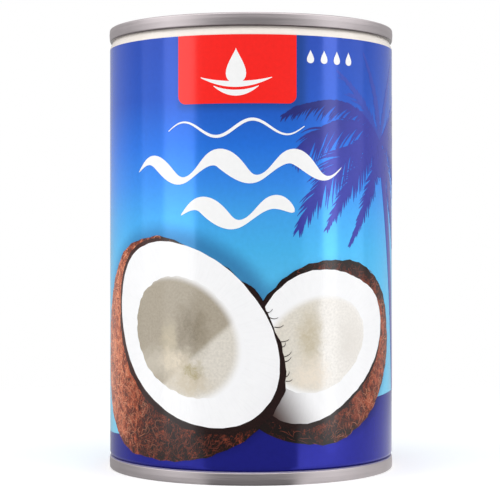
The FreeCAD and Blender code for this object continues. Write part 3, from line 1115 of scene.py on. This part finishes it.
def stained(tree, place, under, stains):
    """Lays soft stains of colour, each a centre, half axes and a hex colour, over a colour."""
    cover = patches(tree, place, STAIN_PATCHES, STAIN_COVER, STAIN_WINDOW, Detail=6.0, Roughness=0.75)
    for centre, half_axes, hex_text in stains:
        outside = outside_ellipse(tree, place, centre, half_axes, 0, STAIN_FULL, STAIN_END)
        within = add(tree, "Math", {0: 1.0, 1: outside}, operation="SUBTRACT")
        share = add(tree, "Math", {0: within, 1: cover}, operation="MULTIPLY")
        under = add(tree, "Mix", {"Factor": share, "A": under, "B": hex_text}, data_type="RGBA")
    return under


def drifted(tree, place):
    """A place pushed about by a few millimetres, which makes whatever is drawn there ragged."""
    drift = add(tree, "TexNoise", {"Vector": place, "Scale": DRIFT_PATCHES, "Detail": 5.0, "Roughness": 0.7})
    push = add(tree, "VectorMath", {0: drift.outputs["Color"], 1: (0.5, 0.5, 0.5)}, operation="SUBTRACT")
    push = add(tree, "VectorMath", {0: push, 1: (DRIFT, DRIFT, 0)}, operation="MULTIPLY")
    return add(tree, "VectorMath", {0: place, 1: push}, operation="ADD")


def hollow_paint(tree, place, nut):
    """A hollow in two shades, stained, and lost in the white where it faces the light."""
    share = along(tree, place, *nut["hollow_split"])
    inner = two_tone(tree, place, share, nut["hollow_sides"], 0.6, 0.1)
    inner = stained(tree, drifted(tree, place), inner, nut["stains"])
    gone = outside_ellipse(tree, place, *nut["hollow_fade"])
    return add(tree, "Mix", {"Factor": gone, "A": inner, "B": FLESH_WHITE}, data_type="RGBA")


for side, nut in COCONUTS.items():
    print("the %s hollow has %d stains" % (side, len(nut["stains"])))

# %% [markdown]
# ## Loose fibres
# Noise gives the husk its depth, but single fibres have crisp ends, and noise has none. So about a thousand
# short bent strokes, dark ones and light ones over them, are scattered over the husk. Each runs roughly
# towards the nut's pole, as the fibres of a real husk do, and the seed makes every run of this lesson
# scatter them alike.

# %% Scatter fibres
for side, nut in COCONUTS.items():
    print("the %s half gets %d loose fibres" % (side, sum(nut["fibres"].values())))

# For each tone: the range of a fibre's length, the range of its width, how it stands over the husk, and its
# colours in the shade and in the light.
FIBRES = {
    "dark": ((0.6, 2.0), (0.12, 0.32), 1.0, ("#170b09", "#743a28")),
    "light": ((0.7, 3.0), (0.1, 0.24), 1.5, ("#633023", "#ee9f78")),
}
FIBRE_SWING, FIBRE_BOW, FIBRE_TAPER = 1.0, 0.4, 0.7


def inside(outline, place):
    """Whether a place lies inside an outline: a line from it crosses the outline an odd number of times."""
    x, y = place
    crossings = 0
    for (ax, ay), (bx, by) in zip(outline, outline[1:] + outline[:1]):
        if (ay > y) != (by > y) and x < ax + (y - ay) / (by - ay) * (bx - ax):
            crossings += 1
    return crossings % 2 == 1


def fibres_between(outer, inner, count, pole, rng, lengths, widths):
    """Short bent strokes on the husk, that run towards the nut's pole."""
    left, right = min(x for x, _ in outer), max(x for x, _ in outer)
    low, high = min(y for _, y in outer), max(y for _, y in outer)
    outlines = []
    while len(outlines) < count:
        base = Vector((rng.uniform(left, right), rng.uniform(low, high)))
        if not inside(outer, base) or inside(inner, base):
            continue
        run = (Vector(pole) - base).normalized()
        run = swung(run, rng.gauss(0, FIBRE_SWING))
        length, half_width = rng.uniform(*lengths), rng.uniform(*widths) / 2
        side = Vector((-run.y, run.x)) * rng.gauss(0, FIBRE_BOW) * length
        path = bowed(base, base + run * length / 2 + side, base + run * length, 5)
        if inside(inner, path[-1]) or not inside(outer, path[-1]):
            continue
        outlines.append(stroke(path, lambda t: half_width * (1 - FIBRE_TAPER * abs(2 * t - 1))))
    return outlines


# %% Lay the films of each half
ROUGH_EDGES = {"husk": 0.17, "shell": 0.14, "flesh": 0.06, "hollow": 0.1}
PAINTS = {"husk": husk_paint, "flesh": flesh_paint, "hollow": hollow_paint}
STEPS = {"husk": 0, "shell": 2, "flesh": 3, "hollow": 4}

for side, nut in COCONUTS.items():
    rng = random.Random(nut["seed"])
    outlines = {part: roughened(lobed(*nut[part]), depth, rng) for part, depth in ROUGH_EDGES.items()}
    for part, outline in outlines.items():
        ink = shell_ink
        if part in PAINTS:
            ink = varnished_ink("litho_%s_%s_on_tinplate" % (side, part), PAINTS[part], nut)
        toe = [lobed(*nut[part + "_toe"])] if part + "_toe" in nut else []
        film("%s_%s" % (side, part), [outline] + toe, nut["layer"] + STEPS[part], ink)

    for tone, (lengths, widths, step, hexes) in FIBRES.items():
        name = "litho_%s_%s_fibre_on_tinplate" % (side, tone)
        ink = varnished_ink(name, lit_paint, nut["lit"], hexes, 0.7, 0.15)
        count, husk, shell = nut["fibres"][tone], outlines["husk"], outlines["shell"]
        strokes = fibres_between(husk, shell, count, nut["pole"], rng, lengths, widths)
        film("%s_%s_fibres" % (side, tone), strokes, nut["layer"] + step, ink)

# %% [markdown]
# ## Lips of shell
# Where the two halves meet at the top, the nearer one's cut leans away and shows more of its shell. So does
# its far shoulder, where the flesh stands back from the husk. And where its flesh meets the other's, a thin
# line of shell parts them. The last two follow the outline of the flesh, so they are drawn from stretches
# of that same outline, let out a little.

# %% Lay the lips of shell
NEAR_LIP = [(-4.2, 49.4), (0.9, 46.9), (3.5, 41.4)]
SHOULDER, SHOULDER_OUT = slice(15, 50), 0.45
MEETING, MEETING_OUT = slice(69, 85), 0.05
LIP_ROUGHNESS, LIP_SEED, LIP_STEP = 0.05, 4, 2.5
LIP_THIN, MEETING_THIN, MEETING_FADE = 0.1, 0.15, 0.2


def along_flesh(stretch, out):
    """A stretch of the nearer half's flesh, let out by some mm."""
    centre, half_axes, *form = COCONUTS["left"]["flesh"]
    return lobed(centre, [axis + out for axis in half_axes], *form)[stretch]


def lip_width(t, swell, lean):
    """Half a lip's width: thin at its ends, and widest before its middle when the lean is under 1."""
    return LIP_THIN + swell * math.sin(math.pi * t**lean)


rng = random.Random(LIP_SEED)
lips = [
    stroke(bowed(*NEAR_LIP, 20), lambda t: lip_width(t, 0.8, 1.2)),
    stroke(along_flesh(SHOULDER, SHOULDER_OUT), lambda t: lip_width(t, 0.6, 0.8)),
    stroke(along_flesh(MEETING, MEETING_OUT), lambda t: MEETING_THIN + MEETING_FADE * (1 - t)),
]
lips = [roughened(outline, LIP_ROUGHNESS, rng) for outline in lips]
film("left_shell_lips", lips, COCONUTS["left"]["layer"] + LIP_STEP, shell_ink)

# %% [markdown]
# ## Stray hairs
# A few short hairs of coir stand off the rim of the nearer half and cross the white flesh of the other.
# They are thinner than anything else on the label, and they are what makes its edge look like husk and not
# like card.

# %% Draw the stray hairs
HAIRS, HAIR_SEED, HAIR_LAYER = 9, 3, 12
RIM_FROM, RIM_LOW, RIM_HIGH = 3.0, 24.0, 45.0
# How far a hair reaches across and up, how its middle is pulled, and half its width.
HAIR_ACROSS, HAIR_UP = (0.8, 2.3), (-0.2, 1.4)
PULL_ACROSS, PULL_UP = (0.1, 0.5), (-0.8, -0.2)
HAIR_HALF, HAIR_TAPER = 0.1, 0.06

rng = random.Random(HAIR_SEED)
rim = [p for p in lobed(*COCONUTS["left"]["shell"]) if p[0] > RIM_FROM and RIM_LOW < p[1] < RIM_HIGH]
hairs = []
for k in range(HAIRS):
    base = Vector(rim[int((k + rng.random()) * len(rim) / HAIRS)])
    tip = base + Vector((rng.uniform(*HAIR_ACROSS), rng.uniform(*HAIR_UP)))
    middle = (base + tip) / 2 + Vector((rng.uniform(*PULL_ACROSS), rng.uniform(*PULL_UP)))
    hairs.append(stroke(bowed(base, middle, tip, 8), lambda t: HAIR_HALF - HAIR_TAPER * t))
film("stray_hairs", hairs, HAIR_LAYER, shell_ink)

# %% [markdown]
# ## The studio floor
# The can stands on pale paper, which a light from all round leaves nearly white. The paper fades out at its
# edge, so no horizon shows, and seen from beneath it isn't there at all. A varnished wall mirrors whatever
# lies in front of it, and its lowest stretch mirrors the floor. So to a mirrored ray the floor is a plain
# glow instead: dim in a lane towards the viewer, and bright to both sides of it, which carries the bands of
# the wall down to its foot.

# %% Lay the floor
FLOOR_RADIUS, FLOOR_FADE, FLOOR_LIFT, FLOOR_CORNERS = 260.0, 60.0, 0.3, 120
# How bright the room looks to a mirrored ray, and where on the floor that turns from front to back.
ROOM_FRONT, ROOM_SIDE, ROOM_BACK, ROOM_TOP = 0.22, 0.4, 0.55, 0.8
FLOOR_BACK_AT = 100.0
# The floor's glow: near the viewer and far off, and where in mm behind the axis each of them holds.
POOL_NEAR, POOL_FAR, POOL_NEAR_AT, POOL_FAR_AT = 1.25, 0.8, -55.0, -20.0
# The dim lane's edges: how they splay in degrees, where they cross in front of the axis, and how soft.
LANE_SPLAY, LANE_CROSSING, LANE_SOFT = 38.0, 15.0, 4.0
POOL_LEFT_SHARE, POOL_MIDDLE = 0.6, 20.0


def mirror_rays(tree, rays):
    """1 for a ray that varnish or metal mirrors, and 0 for any other."""
    return add(tree, "Math", {0: rays["Is Glossy Ray"], 1: rays["Is Transmission Ray"]}, operation="MAXIMUM")


turns = [2 * math.pi * k / FLOOR_CORNERS for k in range(FLOOR_CORNERS)]
corners = [(FLOOR_RADIUS * MM * math.cos(a), FLOOR_RADIUS * MM * math.sin(a), 0) for a in turns]
floor_mesh = bpy.data.meshes.new("floor")
floor_mesh.from_pydata(corners, [], [list(range(FLOOR_CORNERS))])
floor = bpy.data.objects.new("floor", floor_mesh)
bpy.context.scene.collection.objects.link(floor)

paper = bpy.data.materials.new("matt_white_paper")
paper.use_nodes = True
tree = paper.node_tree
tree.nodes.clear()
rays = add(tree, "LightPath").outputs
where = add(tree, "TexCoord").outputs["Object"]
axes = add(tree, "SeparateXYZ", {0: where}).outputs
matt = add(tree, "BsdfDiffuse", {"Color": "#ebebeb"})
lift = add(tree, "Math", {0: rays["Is Camera Ray"], 1: FLOOR_LIFT}, operation="MULTIPLY")
glow = add(tree, "Emission", {"Color": "#ffffff", "Strength": lift})
direct = add(tree, "AddShader", {0: matt, 1: glow})

limits = {"Value": axes["Y"], "From Max": FLOOR_BACK_AT * MM, "To Min": ROOM_FRONT, "To Max": ROOM_BACK}
lane_level = add(tree, "MapRange", limits)
far = along(tree, where, 90, POOL_NEAR_AT * MM, POOL_FAR_AT * MM)
pool = add(tree, "Mix", {"Factor": far, "A": POOL_NEAR, "B": POOL_FAR}, data_type="FLOAT")
reach = POOL_MIDDLE * MM
limits = {"Value": axes["X"], "From Min": -reach, "From Max": reach, "To Min": POOL_LEFT_SHARE}
pool_level = add(tree, "Math", {0: pool, 1: add(tree, "MapRange", limits)}, operation="MULTIPLY")
aside = add(tree, "Math", {0: axes["X"]}, operation="ABSOLUTE")
either_side = add(tree, "CombineXYZ", {"X": aside, "Y": axes["Y"]})
in_pool = along(tree, either_side, LANE_SPLAY, -LANE_CROSSING * MM, (LANE_SOFT - LANE_CROSSING) * MM)
level = add(tree, "Mix", {"Factor": in_pool, "A": lane_level, "B": pool_level}, data_type="FLOAT")
mirrored = add(tree, "Emission", {"Strength": level})
both = add(tree, "MixShader", {0: mirror_rays(tree, rays), 1: direct, 2: mirrored})

faded = outside_ellipse(tree, where, (0, 0), (MM, MM), 0, FLOOR_FADE, FLOOR_RADIUS)
beneath = add(tree, "NewGeometry").outputs["Backfacing"]
gone = add(tree, "Math", {0: faded, 1: beneath}, operation="MAXIMUM")
shown = add(tree, "MixShader", {0: gone, 1: both, 2: add(tree, "BsdfTransparent")})
add(tree, "OutputMaterial", {"Surface": shown})
floor_mesh.materials.append(paper)
print("the paper fades out from %.0f to %.0f mm" % (FLOOR_FADE, FLOOR_RADIUS))

# %% [markdown]
# ## The room
# Far walls light the can softly from everywhere: that is the level AMBIENT. What the varnish and the
# tinplate mirror is set apart from it. The room is dim in front, where a camera would stand, so the middle
# of the wall stays deep and clear. It is brighter behind, which gives the round edges their pale rim, and
# overhead.

# %% Light the room
AMBIENT = 0.53
# Where the back and the ceiling begin and are full, as parts of a view's direction.
BACK_FROM, BACK_FULL, TOP_FROM, TOP_FULL = 0.1, 0.6, 0.2, 0.6
STRAIGHT_AHEAD = -1.0

world = bpy.data.worlds.new("studio")
bpy.context.scene.world = world
world.use_nodes = True
tree = world.node_tree
tree.nodes.clear()
rays = add(tree, "LightPath").outputs
view = add(tree, "TexCoord").outputs["Generated"]
axes = add(tree, "SeparateXYZ", {0: view}).outputs
limits = {"Value": axes["Y"], "From Min": STRAIGHT_AHEAD, "From Max": BACK_FROM}
limits.update({"To Min": ROOM_FRONT, "To Max": ROOM_SIDE})
side = add(tree, "MapRange", limits)
back = along(tree, view, 90, BACK_FROM, BACK_FULL)
round_about = add(tree, "Mix", {"Factor": back, "A": side, "B": ROOM_BACK}, data_type="FLOAT")
limits = {"Value": axes["Z"], "From Min": TOP_FROM, "From Max": TOP_FULL}
top = add(tree, "MapRange", limits, interpolation_type="SMOOTHSTEP")
mirrored = add(tree, "Mix", {"Factor": top, "A": round_about, "B": ROOM_TOP}, data_type="FLOAT")
soft = add(tree, "Mix", {"Factor": mirror_rays(tree, rays), "A": AMBIENT, "B": mirrored}, data_type="FLOAT")
strength = add(tree, "Mix", {"Factor": rays["Is Camera Ray"], "A": soft, "B": 1.0}, data_type="FLOAT")
backdrop = add(tree, "Background", {"Color": "#ffffff", "Strength": strength})
add(tree, "OutputWorld", {"Surface": backdrop})
print("the room lights the can at a level of", AMBIENT)

# %% [markdown]
# ## The lamps
# Tall softboxes stand at both sides, and the upright wall mirrors each as an upright band. A real softbox
# is brighter at its core, so each side is three panels next to one another, each with its own brightness.
# They also reach no higher than 15 degrees, because the wall mirrors nothing above that. A pair over them
# lights the sloping neck, and one overhead lights the ends.

# %% Hang the lamps
def softbox(name, turn, rise, distance, width, height, light):
    """A rectangular lamp that faces the can. turn is degrees round from the front, light its brightness."""
    lamp = bpy.data.lights.new(name, "AREA")
    lamp.shape = "RECTANGLE"
    lamp.size, lamp.size_y = width * MM, height * MM
    lamp.energy = light * math.pi * lamp.size * lamp.size_y
    holder = bpy.data.objects.new(name, lamp)
    angle, lift = math.radians(turn), math.radians(rise)
    way = Vector((math.sin(angle) * math.cos(lift), -math.cos(angle) * math.cos(lift), math.sin(lift)))
    middle = Vector((0, 0, CAN_HEIGHT / 2 * MM))
    holder.location = middle + way * distance * MM
    holder.rotation_euler = (-way).to_track_quat("-Z", "Y").to_euler()
    bpy.context.scene.collection.objects.link(holder)
    return holder


SIDE_DISTANCE, SIDE_LOW, SIDE_HIGH = 900.0, -25.0, 15.0
# Each panel: where it starts and stops, in degrees round from the front, and its brightness.
SIDE_PANELS = [
    ("left_outer_softbox", -96, -72, 0.5),
    ("left_middle_softbox", -72, -59, 1.6),
    ("left_inner_softbox", -59, -44, 1.5),
    ("right_inner_softbox", 41, 58, 0.35),
    ("right_middle_softbox", 58, 71, 2.1),
    ("right_outer_softbox", 71, 100, 0.5),
]
low, high = (SIDE_DISTANCE * math.tan(math.radians(angle)) for angle in (SIDE_LOW, SIDE_HIGH))
for name, start, stop, light in SIDE_PANELS:
    width = 2 * SIDE_DISTANCE * math.tan(math.radians((stop - start) / 2))
    panel = softbox(name, (start + stop) / 2, 0, SIDE_DISTANCE, width, high - low, light)
    panel.location.z += (low + high) / 2 * MM

UPPER_TURN, UPPER_RISE, UPPER_WIDTH, UPPER_HEIGHT, UPPER_LIGHT = 72, 37, 900.0, 655.0, 1.5
for name, turn in (("left_upper_softbox", -UPPER_TURN), ("right_upper_softbox", UPPER_TURN)):
    softbox(name, turn, UPPER_RISE, SIDE_DISTANCE, UPPER_WIDTH, UPPER_HEIGHT, UPPER_LIGHT)
TOP_RISE, TOP_DISTANCE, TOP_WIDTH, TOP_HEIGHT, TOP_LIGHT = 62, 1000.0, 900.0, 700.0, 1.4
softbox("top_softbox", 0, TOP_RISE, TOP_DISTANCE, TOP_WIDTH, TOP_HEIGHT, TOP_LIGHT)
lamps = [holder for holder in bpy.context.scene.objects if holder.type == "LIGHT"]
print(len(lamps), "softboxes hang round the can")

# %% [markdown]
# ## Camera
# The can is seen straight on from a little over half its height, from about 40 cm. So near, both seams bow:
# the head one upwards and the foot one downwards. That bow tells the eye how round the can is.

# %% Camera
CAMERA_ASIDE, CAMERA_DISTANCE, CAMERA_HEIGHT, CAMERA_PITCH = -0.25, 419.0, 58.0, -0.28
SENSOR, LENS = 36.0, 115.92

camera_data = bpy.data.cameras.new("camera")
camera_data.sensor_width = SENSOR
camera_data.lens = LENS
camera = bpy.data.objects.new("camera", camera_data)
camera.location = (CAMERA_ASIDE * MM, -CAMERA_DISTANCE * MM, CAMERA_HEIGHT * MM)
camera.rotation_euler = (math.radians(90 + CAMERA_PITCH), 0, 0)
bpy.context.scene.collection.objects.link(camera)
bpy.context.scene.camera = camera
bpy.context.scene.view_settings.view_transform = "Standard"
print("a %.0f mm lens, %.0f mm from the can's axis" % (LENS, CAMERA_DISTANCE))
